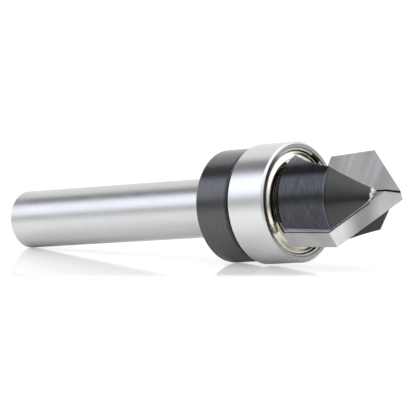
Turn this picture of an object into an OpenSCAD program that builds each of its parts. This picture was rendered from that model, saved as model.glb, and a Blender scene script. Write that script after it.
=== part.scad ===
// V-groove router bit with a guide bearing held between the cutter's shoulder and a stop collar.
// Millimetres. The shank end is at the origin and the bit points up +Z.
// Wing 1 lies along +X with its rake face towards +Y, and wing 2 is wing 1 turned half a turn.

/* [Shank] */
// Shank diameter, a quarter inch
shank_d = 6.35; // [6:0.05:8]
// Length of bare shank behind the stop collar
shank_exposed_l = 30.75; // [20:0.25:45]
// Bevel on the free end of the shank
shank_bevel = 1; // [0.3:0.1:1.5]
// Radial slip of the collar and the bearing on their seat
seat_slip = 0.01; // [0.005:0.005:0.02]
// Width of the grinding wheel's run-out groove between the shank and the seat
relief_w = 0.5; // [0.3:0.1:0.7]
// Depth of the run-out groove
relief_depth = 0.2; // [0.16:0.01:0.3]

/* [Stop collar] */
// Outer diameter of the collar
collar_d = 12; // [11:0.1:13]
// Width of the collar's main ring
collar_w = 4.2; // [3.8:0.1:6]
// Height of the boss that keeps the ring off the bearing's outer ring
collar_boss_h = 0.35; // [0.2:0.05:0.8]
// Bevel on both rims of the collar
collar_bevel = 0.12; // [0.05:0.01:0.3]
// Outer diameter of the set screw's thread
screw_d = 2.85; // [2:0.05:3.2]
// Length of the set screw
screw_l = 2.4; // [2:0.1:2.6]
// Width across the flats of the set screw's hex socket
screw_socket_af = 1.27; // [0.9:0.01:1.4]
// Depth of the hex socket
screw_socket_depth = 1.2; // [0.8:0.1:1.5]
// Radial gap between the screw and its hole
screw_gap = 0.02; // [0.01:0.01:0.04]
// Direction of the screw round the axis, in degrees from +X
screw_angle = -45; // [-90:5:90]

/* [Guide bearing] */
// Outer diameter of the bearing
bearing_d = 12.7; // [12.4:0.1:14]
// Width of the bearing
bearing_w = 4.7625; // [4.4:0.05:5.5]
// Bevel on the bearing's outer corners
bearing_bevel = 0.2; // [0.1:0.05:0.3]
// Diameter of one ball
ball_d = 1.5875; // [1.4:0.05:1.65]
// Number of balls
ball_count = 11; // [9:1:12]
// Play between a ball and each race
ball_play = 0.03; // [0.02:0.01:0.05]
// Radial step from the ball circle to each ring's land
land_offset = 0.55; // [0.45:0.05:0.6]
// Thickness of the pressed cage sheet
cage_sheet = 0.15; // [0.1:0.05:0.2]
// Radial width of the cage
cage_w = 0.7; // [0.5:0.05:0.8]
// Gap between the cage's pockets and the balls
cage_gap = 0.05; // [0.03:0.01:0.08]
// Thickness of the shield sheet
shield_sheet = 0.15; // [0.1:0.05:0.2]
// Radial gap between a shield and the inner ring
shield_gap = 0.1; // [0.05:0.05:0.2]
// How far a shield is pressed outwards from its rim
shield_rise = 0.3; // [0.1:0.05:0.35]
// Wire diameter of a snap ring
snap_wire_d = 0.3; // [0.25:0.05:0.35]
// Opening of a snap ring, in degrees
snap_gap_angle = 14; // [8:1:25]

/* [Cutter head] */
// Diameter of the steel head behind the cutting edges
head_d = 10.54; // [9.6:0.02:11]
// Length of the head's round part
head_l = 6.33; // [5:0.1:9]
// Bevel on the rear rim of the head
head_bevel = 0.45; // [0.2:0.05:0.6]
// Diameter of the neck between the bearing and the head
neck_d = 8; // [7.4:0.1:8.2]
// Length of the neck
neck_l = 0.85; // [0.5:0.05:1.5]
// Diameter of the flat at the end of the steel cone
nose_d = 3.78; // [3.4:0.02:4.2]
// Included angle of the V
v_angle = 90; // [80:1:100]

/* [Carbide tips] */
// Diameter across the outer corners of the cutting edges
cut_d = 12.21; // [11.8:0.05:13]
// How far the V edges lead the steel cone, along the axis
edge_lead = 1; // [0.8:0.05:1.3]
// Thickness of a carbide tip
carbide_t = 1.49; // [1.2:0.05:1.8]
// Distance from the head's rear face to the rear end of a carbide tip
carbide_start = 0.48; // [0.3:0.02:1.5]
// Half of the web between the two rake faces at the point
web_half = 0.36; // [0.25:0.01:0.45]
// Relief angle behind the cutting edges
relief_angle = 30; // [25:1:35]
// Angle by which a rake face falls back towards the shank
shear_angle = 4.4; // [2:0.1:6]
// Angle by which the side edges close in towards the shank
side_taper = 0.5; // [0:0.1:1]
// Thickness of the braze under a carbide tip
braze_t = 0.08; // [0.05:0.01:0.12]
// How far the braze stands out of the steel head
braze_proud = 0.12; // [0.05:0.01:0.2]
// Height that the braze fillet on the nose flat would reach at the axis
fillet_h = 1; // [0.6:0.1:1.4]
// Angle by which a tip's inner end leans away from the other tip's rake face
end_angle = 21; // [15:1:30]

/* [Gullets] */
// Radius of the disc cutter that mills a gullet
gullet_r = 14.5; // [13:0.1:17]
// How far a gullet's wall reaches past the axis at its deepest
gullet_reach = 0.27; // [0.15:0.01:0.35]
// Distance from the nose flat back to the disc cutter's centre
gullet_back = 0.53; // [0.2:0.01:1]
// Lean of the disc cutter about the bit's axis
gullet_lean = 5.7; // [0:0.1:8]

/* [Hidden] */
$fn = 96;

STEEL = [0.78, 0.79, 0.81];
BLACK_OXIDE = [0.2, 0.2, 0.21];
HEAD_COATING = [0.25, 0.26, 0.3];
CARBIDE = [0.62, 0.63, 0.64];
BRAZE = [0.72, 0.7, 0.58];
SHIELD = [0.86, 0.84, 0.74];
CAGE = [0.7, 0.66, 0.52];

// Radii
shank_r = shank_d / 2;
seat_r = shank_r - seat_slip;
head_r = head_d / 2;
nose_r = nose_d / 2;
cut_r = cut_d / 2;
pitch_r = (shank_d + bearing_d) / 4;
inner_land_r = pitch_r - land_offset;
outer_land_r = pitch_r + land_offset;
groove_conformity = 0.52;
groove_r = ball_d * groove_conformity;

// Stations along the axis, from the shank end
collar_z = shank_exposed_l;
boss_z = collar_z + collar_w;
bearing_z = boss_z + collar_boss_h;
neck_z = bearing_z + bearing_w;
head_z = neck_z + neck_l;
cone_z = head_z + head_l;
nose_z = cone_z + (head_r - nose_r) / tan(v_angle / 2);
corner_z = cone_z + edge_lead - (cut_r - head_r) / tan(v_angle / 2);
chisel_x = web_half * tan(relief_angle) / cos(v_angle / 2);
tip_z = corner_z + (cut_r - chisel_x) / tan(v_angle / 2);
carbide_z = head_z + carbide_start;
bearing_mid_z = bearing_z + bearing_w / 2;

// Stop collar's boss, which bears on the inner ring only
boss_gap = 0.1;
boss_r = inner_land_r - boss_gap;

// Shield seat in each mouth of the outer ring: the snap ring's wire stands snap_step outside the
// land and snap_inset below the face, bites snap_bite into the wall and has snap_play behind it
mouth_bevel = 0.05;
snap_step = 0.31;
snap_inset = 0.12;
snap_bite = 0.07;
snap_play = 0.02;
rim_play = 0.02;
snap_r = outer_land_r + snap_step;
snap_depth = snap_inset + snap_wire_d / 2;
seat_wall_r = snap_r + snap_wire_d / 2 - snap_bite;
snap_groove_r = snap_r + snap_wire_d / 2 + snap_play;
shield_depth = snap_depth + snap_wire_d / 2;
shield_rim_r = seat_wall_r - rim_play;
shield_step_r = outer_land_r;
ring_corner = 0.12;

// Size of the blocks and discs that only have to be larger than the bit
reach = 5 * bearing_d;

// Planes of wing 1, each given by one point and its outward normal
rake_normal = [0, cos(shear_angle), -sin(shear_angle)];
chisel_point = [chisel_x, web_half, tip_z];
corner_point = [cut_r, web_half - (tip_z - corner_z) * tan(shear_angle), corner_z];
back_point = chisel_point - rake_normal * carbide_t;
seat_point = back_point - rake_normal * braze_t;
v_edge = [-tan(v_angle / 2), tan(shear_angle), 1];
v_normal = cross(v_edge, [0, -1, -tan(relief_angle) / sin(v_angle / 2)]);
side_edge = [tan(side_taper), tan(shear_angle), 1];
side_normal = cross(side_edge, [-tan(relief_angle), -1, 0]);
split_normal = [-web_half, chisel_x, 0];
end_normal = [cos(end_angle), sin(end_angle), 0];

// Everything on the inner side of a plane, as one large block
module half_space(point, normal) {
    translate(point)
        rotate([0, acos(normal[2] / norm(normal)), atan2(normal[1], normal[0])])
            translate([-reach / 2, -reach / 2, -reach])
                cube(reach);
}

// The sweep of the disc cutter that mills wing 1's gullet; shrink keeps clear of its wall
module gullet_disc(shrink = 0) {
    translate([gullet_r - gullet_reach, 0, nose_z - gullet_back])
        rotate([0, 0, -gullet_lean])
            rotate([-90 - shear_angle, 0, 0])
                cylinder(r = gullet_r - shrink, h = reach, center = true);
}

// Gullet and tip seat of wing 1, milled down to the plane through floor_point
module gullet_cut(floor_point) {
    intersection() {
        gullet_disc();
        half_space(floor_point, -rake_normal);
    }
}

// What grinding wing 1's rake face takes from wing 2: the gullet down to the rake face, with a
// leaning wall above the nose flat
module rake_grind() {
    difference() {
        gullet_cut(chisel_point);
        intersection() {
            half_space(chisel_point, end_normal);
            half_space([0, 0, nose_z], [0, 0, -1]);
        }
    }
}

// Space that the reliefs and the rear end leave to wing 1
module wing_outline() {
    intersection() {
        half_space(chisel_point, v_normal);
        half_space(corner_point, side_normal);
        half_space([0, 0, nose_z], split_normal);
        half_space([0, 0, carbide_z], [0, 0, -1]);
        half_space(chisel_point, rake_normal);
    }
}

// Turned blank of the head, grown by an even skin
module head_blank(skin = 0) {
    slope = tan(v_angle / 2);
    skin_z = skin / sin(v_angle / 2);
    rotate_extrude()
        polygon([
            [0, head_z],
            [head_r - head_bevel + skin, head_z],
            [head_r + skin, head_z + head_bevel],
            [head_r + skin, cone_z + skin_z - skin / slope],
            [nose_r, nose_z + skin_z],
            [0, nose_z + skin_z]
        ]);
}

// Web that closes the slit between the two rake faces where both gullets pass the axis
module web() {
    intersection() {
        half_space(chisel_point, -rake_normal);
        rotate([0, 0, 180])
            half_space(chisel_point, -rake_normal);
        translate([0, 0, head_z])
            cylinder(r = web_half, h = nose_z - head_z);
    }
}

// Shank, bearing seat, neck and head, turned and milled from one bar
module cutter_body() {
    color(HEAD_COATING) {
        difference() {
            union() {
                rotate_extrude()
                    polygon([
                        [0, 0],
                        [shank_r - shank_bevel, 0],
                        [shank_r, shank_bevel],
                        [shank_r, collar_z],
                        [shank_r - relief_depth, collar_z],
                        [shank_r - relief_depth, collar_z + relief_w],
                        [seat_r, collar_z + relief_w],
                        [seat_r, neck_z],
                        [neck_d / 2, neck_z],
                        [neck_d / 2, head_z],
                        [0, head_z]
                    ]);
                head_blank();
            }
            gullet_cut(seat_point);
            rotate([0, 0, 180])
                gullet_cut(seat_point);
        }
        web();
    }
}

// Bed that a carbide tip lies in, open towards its rake face
module carbide_bed() {
    intersection() {
        half_space(back_point, -rake_normal);
        gullet_disc(shrink = braze_t);
    }
}

// One carbide tip, its inner end ground with the other tip's rake face
module carbide_solid() {
    difference() {
        intersection() {
            wing_outline();
            half_space(back_point, -rake_normal);
            union() {
                gullet_disc(shrink = braze_t);
                half_space([0, 0, nose_z], [0, 0, -1]);
            }
        }
        rotate([0, 0, 180])
            rake_grind();
    }
}

// Braze of wing 1: the film under the tip and the fillet on the nose flat
module braze_solid() {
    difference() {
        union() {
            difference() {
                intersection() {
                    wing_outline();
                    half_space(seat_point, -rake_normal);
                    gullet_disc();
                    head_blank(skin = braze_proud);
                    half_space([0, 0, nose_z], [0, 0, 1]);
                }
                carbide_bed();
            }
            intersection() {
                wing_outline();
                half_space(back_point, rake_normal);
                translate([0, 0, nose_z])
                    cylinder(r1 = nose_r, r2 = 0, h = fillet_h);
            }
        }
        rotate([0, 0, 180])
            rake_grind();
    }
}

module carbide_tip_1() {
    color(CARBIDE) carbide_solid();
}

module carbide_tip_2() {
    color(CARBIDE)
        rotate([0, 0, 180])
            carbide_solid();
}

module braze_layer_1() {
    color(BRAZE) braze_solid();
}

module braze_layer_2() {
    color(BRAZE)
        rotate([0, 0, 180])
            braze_solid();
}

// Points +Z of what follows outwards along the set screw
module along_screw() {
    translate([0, 0, collar_z + collar_w / 2])
        rotate([0, 90, screw_angle])
            children();
}

module stop_collar() {
    outer_r = collar_d / 2;
    color(BLACK_OXIDE)
        difference() {
            rotate_extrude()
                polygon([
                    [shank_r, collar_z],
                    [outer_r - collar_bevel, collar_z],
                    [outer_r, collar_z + collar_bevel],
                    [outer_r, boss_z - collar_bevel],
                    [outer_r - collar_bevel, boss_z],
                    [boss_r, boss_z],
                    [boss_r, bearing_z],
                    [shank_r, bearing_z]
                ]);
            along_screw()
                cylinder(d = screw_d + 2 * screw_gap, h = collar_d);
        }
}

// Cup-point set screw, its tip against the shank
module collar_set_screw() {
    cup_bevel = 0.25;
    color(BLACK_OXIDE)
        along_screw()
            translate([0, 0, seat_r])
                difference() {
                    rotate_extrude()
                        polygon([
                            [0, 0],
                            [screw_d / 2 - cup_bevel, 0],
                            [screw_d / 2, cup_bevel],
                            [screw_d / 2, screw_l],
                            [0, screw_l]
                        ]);
                    translate([0, 0, screw_l - screw_socket_depth])
                        cylinder(d = screw_socket_af / cos(30), h = screw_l, $fn = 6);
                }
}

// Ring with a ball groove turned into it, about the bearing's middle plane
module grooved_ring(profile, race_r) {
    translate([0, 0, bearing_mid_z])
        rotate_extrude()
            difference() {
                polygon(profile);
                translate([race_r, 0])
                    circle(r = groove_r);
            }
}

module bearing_inner_ring() {
    half_w = bearing_w / 2;
    color(STEEL)
        grooved_ring(
            [
                [shank_r, -half_w + ring_corner],
                [shank_r + ring_corner, -half_w],
                [inner_land_r, -half_w],
                [inner_land_r, half_w],
                [shank_r + ring_corner, half_w],
                [shank_r, half_w - ring_corner]
            ],
            pitch_r - ball_d / 2 - ball_play + groove_r
        );
}

// Half of the outer ring's section, from its middle plane to one face
function outer_half(side) =
    let (face = bearing_w / 2, step = face - shield_depth - shield_sheet)
    [
        [outer_land_r, side * step],
        [seat_wall_r, side * step],
        [seat_wall_r, side * (face - snap_depth - snap_wire_d / 2)],
        [snap_groove_r, side * (face - snap_depth - snap_wire_d / 2)],
        [snap_groove_r, side * (face - snap_depth + snap_wire_d / 2)],
        [seat_wall_r, side * (face - snap_depth + snap_wire_d / 2)],
        [seat_wall_r, side * (face - mouth_bevel)],
        [seat_wall_r + mouth_bevel, side * face],
        [bearing_d / 2 - bearing_bevel, side * face],
        [bearing_d / 2, side * (face - bearing_bevel)]
    ];

module bearing_outer_ring() {
    front = outer_half(1);
    rear = outer_half(-1);
    color(STEEL)
        grooved_ring(
            concat(front, [for (i = [len(rear) - 1 : -1 : 0]) rear[i]]),
            pitch_r + ball_d / 2 + ball_play - groove_r
        );
}

// Ball number i of the ring
module ball(i) {
    color(STEEL)
        rotate([0, 0, (i - 1) * 360 / ball_count])
            translate([pitch_r, 0, bearing_mid_z])
                sphere(d = ball_d);
}

// Front half of the pressed cage: a flat ring with a dome over each ball
module cage_half() {
    pocket_r = ball_d / 2 + cage_gap;
    dome_r = pocket_r + cage_sheet;
    difference() {
        intersection() {
            difference() {
                cylinder(r = pitch_r + cage_w / 2, h = dome_r);
                translate([0, 0, -1])
                    cylinder(r = pitch_r - cage_w / 2, h = dome_r + 2);
            }
            union() {
                cylinder(r = pitch_r + cage_w, h = cage_sheet);
                for (i = [0 : ball_count - 1])
                    rotate([0, 0, i * 360 / ball_count])
                        translate([pitch_r, 0, 0])
                            sphere(r = dome_r);
            }
        }
        for (i = [0 : ball_count - 1])
            rotate([0, 0, i * 360 / ball_count])
                translate([pitch_r, 0, 0])
                    sphere(r = pocket_r);
    }
}

module cage_front() {
    color(CAGE)
        translate([0, 0, bearing_mid_z])
            cage_half();
}

module cage_rear() {
    color(CAGE)
        translate([0, 0, bearing_mid_z])
            mirror([0, 0, 1])
                cage_half();
}

// Pressed shield of one side; its middle stands outwards from the rim on a step of 45 degrees
module shield(side) {
    rim = bearing_w / 2 - shield_depth;
    raised = rim + shield_rise;
    inner_r = inner_land_r + shield_gap;
    knee_r = shield_step_r - shield_rise;
    bend = shield_sheet * tan(45 / 2);
    translate([0, 0, bearing_mid_z])
        mirror([0, 0, side > 0 ? 0 : 1])
            rotate_extrude()
                polygon([
                    [shield_rim_r, rim],
                    [shield_step_r, rim],
                    [knee_r, raised],
                    [inner_r, raised],
                    [inner_r, raised - shield_sheet],
                    [knee_r - bend, raised - shield_sheet],
                    [shield_step_r - bend, rim - shield_sheet],
                    [shield_rim_r, rim - shield_sheet]
                ]);
}

module shield_front() {
    color(SHIELD) shield(1);
}

module shield_rear() {
    color(SHIELD) shield(-1);
}

// Open wire ring that holds a shield in its seat
module snap_ring(side) {
    translate([0, 0, bearing_mid_z + side * (bearing_w / 2 - snap_depth)])
        rotate([0, 0, snap_gap_angle / 2])
            rotate_extrude(angle = 360 - snap_gap_angle)
                translate([snap_r, 0])
                    circle(d = snap_wire_d, $fn = 32);
}

module snap_ring_front() {
    color(STEEL) snap_ring(1);
}

module snap_ring_rear() {
    color(STEEL) snap_ring(-1);
}

cutter_body();
carbide_tip_1();
carbide_tip_2();
braze_layer_1();
braze_layer_2();
stop_collar();
collar_set_screw();
bearing_outer_ring();
bearing_inner_ring();
cage_front();
cage_rear();
shield_front();
shield_rear();
snap_ring_front();
snap_ring_rear();
for (i = [1 : ball_count])
    ball(i);
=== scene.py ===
"""Dresses the v-groove router bit for its picture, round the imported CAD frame.

The bit stands on its shank end with its axis along +Z, and every length is in metres unless a
name ends in _mm. Wing 1 of the cutter lies along +X.
"""

import logging
import math
from dataclasses import dataclass
from enum import Enum
from functools import cached_property

import bpy
import numpy as np
from bpy.types import Material, Node, NodeTree, Object
from bpy.types import NodeSocket as Socket
from mathutils import Matrix, Vector


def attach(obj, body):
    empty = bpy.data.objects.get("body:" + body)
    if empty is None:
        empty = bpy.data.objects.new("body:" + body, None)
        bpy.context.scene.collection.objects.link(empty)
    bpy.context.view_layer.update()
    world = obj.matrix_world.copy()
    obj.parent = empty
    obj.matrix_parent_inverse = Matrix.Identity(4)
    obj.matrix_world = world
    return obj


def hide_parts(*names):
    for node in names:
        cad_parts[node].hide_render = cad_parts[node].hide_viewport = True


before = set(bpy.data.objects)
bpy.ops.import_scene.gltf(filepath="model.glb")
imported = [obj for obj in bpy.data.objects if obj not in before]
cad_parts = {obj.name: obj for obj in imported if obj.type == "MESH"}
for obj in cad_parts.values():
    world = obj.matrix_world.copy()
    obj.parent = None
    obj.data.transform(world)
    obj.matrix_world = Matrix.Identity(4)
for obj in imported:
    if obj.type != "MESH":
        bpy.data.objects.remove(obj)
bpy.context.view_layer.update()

MM = 0.001
PHOTO_PIXELS = 416
LOG = logging.getLogger("router_bit")

Pair = tuple[float, float]
Triple = tuple[float, float, float]
Colour = Triple
WHITE: Colour = (1.0, 1.0, 1.0)


class Body(Enum):
    """The bodies of the bit that carry new pieces."""

    CUTTER = "cutter"
    OUTER_RACE = "outer_race"


# Surfaces


def rounded_section(
    corners_mm: np.ndarray, round_mm: float, steps: int
) -> tuple[np.ndarray, np.ndarray]:
    """Rounds the corners of a closed section and gives its outward normals.

    At each corner an arc touches both sides. Its centre lies back along the first side by the
    radius times the tangent of half the turn, and inwards by the radius. The arc's points are the
    centre plus the radius times a unit normal that turns evenly from one side's to the next.

    Args:
        corners_mm: Corners (radius, height), anticlockwise with the radius to the right.
        round_mm: Rounding radius of the corners.
        steps: Points on each arc.

    Returns:
        The section's points in metres, and one unit normal for each.
    """
    before = corners_mm - np.roll(corners_mm, 1, axis=0)
    before /= np.linalg.norm(before, axis=1, keepdims=True)
    after = np.roll(before, -1, axis=0)
    turn = np.arctan2(
        before[:, 0] * after[:, 1] - before[:, 1] * after[:, 0], np.sum(before * after, axis=1)
    )
    side = np.sign(turn)[:, None]
    back = (round_mm * np.tan(np.abs(turn) / 2))[:, None]
    normal = np.stack([before[:, 1], -before[:, 0]], axis=1)
    centre = corners_mm - before * back - side * normal * round_mm
    angle = turn[:, None] * np.linspace(0, 1, steps)[None, :]
    cos, sin = np.cos(angle), np.sin(angle)
    x, y = normal[:, :1], normal[:, 1:]
    turned = np.stack([x * cos - y * sin, x * sin + y * cos], axis=2)
    points = centre[:, None, :] + side[:, None, :] * round_mm * turned
    return points.reshape(-1, 2) * MM, turned.reshape(-1, 2)


def new_object(name: str, data: bpy.types.ID) -> Object:
    """Puts new data into the scene as an object at the origin.

    Args:
        name: Name of the object.
        data: Its mesh, lamp or camera.

    Returns:
        The object.
    """
    made = bpy.data.objects.new(name, data)
    bpy.context.scene.collection.objects.link(made)
    return made


def new_piece(name: str, points: np.ndarray, normals: np.ndarray, closed: bool) -> Object:
    """Puts a grid of points, closed along its columns, into a new mesh with exact normals.

    Face (i, j) joins points (i, j), (i + 1, j), (i + 1, j + 1) and (i, j + 1), with each index
    taken round to 0 where its direction is closed. An open grid has a flat face at both ends.

    Args:
        name: Name of the piece.
        points: Vertices in metres, by row and column.
        normals: Unit normal of each vertex.
        closed: Whether the last row joins the first.

    Returns:
        The piece, at the origin.
    """
    number = np.arange(points[..., 0].size).reshape(points.shape[:2])
    beside = np.roll(number, -1, axis=1)
    corners = [number, np.roll(number, -1, axis=0), np.roll(beside, -1, axis=0), beside]
    faces = np.stack(corners, axis=-1)[: None if closed else -1].reshape(-1, 4).tolist()
    ends = [] if closed else [number[0].tolist(), number[-1, ::-1].tolist()]
    mesh = bpy.data.meshes.new(name)
    mesh.from_pydata(points.reshape(-1, 3).tolist(), [], faces + ends)
    mesh.polygons.foreach_set("use_smooth", np.ones(len(mesh.polygons), dtype=bool))
    mesh.normals_split_custom_set_from_vertices(normals.reshape(-1, 3).tolist())
    mesh.update()
    return new_object(name, mesh)


def lathe(name: str, section: np.ndarray, section_normals: np.ndarray, segments: int) -> Object:
    """Turns a closed section once round the Z axis.

    The point at angle a and section place (r, z) is (r cos a, r sin a, z), and its normal turns
    with it.

    Args:
        name: Name of the piece.
        section: Section points (radius, height) in metres, anticlockwise.
        section_normals: Unit normal of each section point.
        segments: Steps round the axis.

    Returns:
        The turned ring.
    """
    angle = np.linspace(0, 2 * np.pi, segments, endpoint=False)[:, None]
    cos, sin, level = np.cos(angle), np.sin(angle), np.ones_like(angle)

    def spun(pairs: np.ndarray) -> np.ndarray:
        """Carries pairs (radial, axial) round the axis."""
        return np.stack([cos * pairs[:, 0], sin * pairs[:, 0], level * pairs[:, 1]], axis=-1)

    return new_piece(name, spun(section), spun(section_normals), closed=True)


def tube(name: str, path: np.ndarray, radii: np.ndarray, sides: int) -> Object:
    """Carries a closed ring of changing radius along a path.

    Each ring lies across the path's direction there. Its points are the path point plus the
    radius times (cos a) times the level direction across the path and (sin a) times the direction
    square to both. A normal is that outward direction, less the path's direction times the
    radius's change per length, and less the ring's direction times the radius's change per
    length round it.

    Args:
        name: Name of the piece.
        path: Points of the middle line, one row each, which nowhere runs straight up.
        radii: Radius at each point, or one row of radii for each point.
        sides: Points in each ring.

    Returns:
        The tube, with flat ends.
    """
    along = np.gradient(path, axis=0)
    length = np.linalg.norm(along, axis=1, keepdims=True)
    along /= length
    across = np.cross(along, np.array([0.0, 0.0, 1.0]))
    across /= np.linalg.norm(across, axis=1, keepdims=True)
    over = np.cross(across, along)
    angle = np.linspace(0, 2 * np.pi, sides, endpoint=False)
    cos, sin = np.cos(angle)[None, :, None], np.sin(angle)[None, :, None]
    outwards = across[:, None, :] * cos + over[:, None, :] * sin
    onwards = over[:, None, :] * cos - across[:, None, :] * sin
    radii = radii.reshape(len(path), -1) * np.ones((1, sides))
    points = path[:, None, :] + outwards * radii[:, :, None]
    slope = np.gradient(radii, axis=0) / length
    swell = (np.roll(radii, -1, axis=1) - np.roll(radii, 1, axis=1)) * sides / (4 * np.pi * radii)
    normals = outwards - along[:, None, :] * slope[:, :, None] - onwards * swell[:, :, None]
    normals /= np.linalg.norm(normals, axis=2, keepdims=True)
    return new_piece(name, points, normals, closed=False)


def eased_path(stops: np.ndarray, places: np.ndarray) -> np.ndarray:
    """Runs a smooth line through a row of stops.

    Between two stops it is the cubic that leaves each with half the step between its neighbours.

    Args:
        stops: Points or values to pass, one row each, evenly spaced from place 0 to place 1.
        places: Places to read, from 0 to 1.

    Returns:
        One row for each place.
    """
    step = np.gradient(stops, axis=0)
    spot = places * (len(stops) - 1)
    first = np.minimum(spot.astype(int), len(stops) - 2)
    share = (spot - first)[:, None]
    start, end = stops[first], stops[first + 1]
    fall = 2 * share**3 - 3 * share**2 + 1
    leave = share**3 - 2 * share**2 + share
    arrive = share**3 - share**2
    return fall * start + leave * step[first] + (1 - fall) * end + arrive * step[first + 1]


# Shader tools


class Nodes:
    """Adds and links the nodes of one shader tree."""

    def __init__(self, tree: NodeTree) -> None:
        """Starts from an empty tree."""
        self.tree = tree
        tree.nodes.clear()

    def add(self, kind: str, inputs: dict | None = None, **settings: object) -> Node:
        """Adds a node.

        Args:
            kind: Blender's name of the node type.
            inputs: Values or sockets for the node's inputs, by name or number.
            settings: Properties of the node itself.

        Returns:
            The new node.
        """
        node = self.tree.nodes.new(kind)
        for key, value in settings.items():
            setattr(node, key, value)
        self.feed(node, inputs or {})
        return node

    def feed(self, node: Node, inputs: dict) -> None:
        """Links or sets inputs of a node.

        Args:
            node: The node that takes them.
            inputs: Values or sockets, by the input's name or number.
        """
        for key, value in inputs.items():
            socket = node.inputs[key]
            if isinstance(value, Socket):
                self.tree.links.new(value, socket)
            elif socket.type == "RGBA":
                socket.default_value = (*value, 1.0)
            else:
                socket.default_value = value

    def math(self, operation: str, *values: object) -> Socket:
        """Adds a Math node and returns its result."""
        return self.add("ShaderNodeMath", dict(enumerate(values)), operation=operation).outputs[0]

    def times(self, first: object, second: object) -> Socket:
        """Multiplies two values."""
        return self.math("MULTIPLY", first, second)

    def plus(self, total: object, *parts: tuple) -> Socket:
        """Adds weighted masks to a value.

        Args:
            total: The value to start from.
            parts: Pairs of a mask and its weight.

        Returns:
            The sum.
        """
        for mask, weight in parts:
            total = self.math("MULTIPLY_ADD", mask, weight, total)
        return total

    def vector(self, operation: str, *values: object) -> Node:
        """Adds a Vector Math node."""
        return self.add("ShaderNodeVectorMath", dict(enumerate(values)), operation=operation)

    def dot(self, first: object, second: object) -> Socket:
        """Gives how far one vector reaches along another."""
        return self.vector("DOT_PRODUCT", first, second).outputs["Value"]

    def scale(self, vector: object, factor: Socket) -> Socket:
        """Multiplies a vector by one factor."""
        inputs = {0: vector, "Scale": factor}
        return self.add("ShaderNodeVectorMath", inputs, operation="SCALE").outputs[0]

    def flat(self, vector: Socket) -> Socket:
        """Gives a vector's part across the bit's axis."""
        return self.vector("MULTIPLY", vector, (1.0, 1.0, 0.0)).outputs[0]

    def upward(self, vector: Socket) -> Socket:
        """Gives how far a vector reaches along the bit's axis."""
        return self.add("ShaderNodeSeparateXYZ", {0: vector}).outputs[2]

    @cached_property
    def place(self) -> Socket:
        """A point's own place on the bit."""
        return self.add("ShaderNodeTexCoord").outputs["Object"]

    @cached_property
    def height(self) -> Socket:
        """A point's height on the bit."""
        return self.upward(self.place)

    @cached_property
    def distance(self) -> Socket:
        """A point's distance from the bit's axis."""
        return self.vector("LENGTH", self.flat(self.place)).outputs["Value"]

    @cached_property
    def facing(self) -> Socket:
        """The direction that the surface faces."""
        return self.add("ShaderNodeNewGeometry").outputs["Normal"]

    def ramp(
        self, value: object, start: float, end: float, low: float = 0.0, high: float = 1.0
    ) -> Socket:
        """Eases value from low at start to high at end, and holds it outside them."""
        inputs = {"Value": value, "From Min": start, "From Max": end, "To Min": low, "To Max": high}
        return self.add("ShaderNodeMapRange", inputs, interpolation_type="SMOOTHSTEP").outputs[0]

    def step(self, value: object, at: float, soft: float) -> Socket:
        """Eases value from 0 just below a place to 1 just above it, or back if soft is negative."""
        return self.ramp(value, at - soft, at + soft)

    def band(self, value: Socket, band_mm: Triple) -> Socket:
        """Marks a band, given by its middle, its half width where it ends and where it is full."""
        middle, ends, full = (length * MM for length in band_mm)
        return self.ramp(self.math("ABSOLUTE", self.math("SUBTRACT", value, middle)), ends, full)

    def blend(self, factor: object, first: object, second: object) -> Socket:
        """Mixes two colours by a factor."""
        inputs = {0: factor, 6: first, 7: second}
        return self.add("ShaderNodeMix", inputs, data_type="RGBA").outputs[2]

    def lerp(self, factor: object, first: object, second: object) -> Socket:
        """Mixes two plain values by a factor."""
        return self.add("ShaderNodeMix", {0: factor, 2: first, 3: second}).outputs[0]

    def turned(self, turn: Triple, stretch: Triple) -> Socket:
        """Gives a point's place, turned and stretched."""
        inputs = {"Vector": self.place, "Rotation": turn, "Scale": stretch}
        return self.add("ShaderNodeMapping", inputs).outputs[0]

    def noise(self, vector: object, scale: float, detail: float = 2.0) -> Socket:
        """Adds a noise texture and returns its value."""
        inputs = {"Vector": vector, "Scale": scale, "Detail": detail}
        return self.add("ShaderNodeTexNoise", inputs).outputs["Fac"]

    def lines(self, vector: object, detail: float = 3.0) -> Socket:
        """Reads a noise in a stretched place and widens its usual span to 0 to 1."""
        return self.ramp(self.noise(vector, 1.0, detail), 0.3, 0.7)

    def bump(self, distance: float, height: Socket, **base: Socket) -> Socket:
        """Gives the normal of a finely uneven surface, over the base Normal where it has one."""
        inputs = {"Strength": 1.0, "Distance": distance, "Height": height, **base}
        return self.add("ShaderNodeBump", inputs).outputs[0]

    def group(self, tree: NodeTree, **inputs: object) -> bpy.types.NodeOutputs:
        """Places a node group with its own values and returns its outputs."""
        return self.add("ShaderNodeGroup", inputs, node_tree=tree).outputs

    def rings(self, tree: NodeTree, share: float, **inputs: float) -> Socket:
        """Mixes the fine and the coarse turned marks."""
        marks = self.group(tree, **inputs)
        return self.lerp(share, marks["Fine"], marks["Coarse"])


def shaded(colour: Colour, share: float) -> Colour:
    """Gives a share of a colour, none of its parts above 1."""
    return tuple(min(1.0, part * share) for part in colour)


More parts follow.
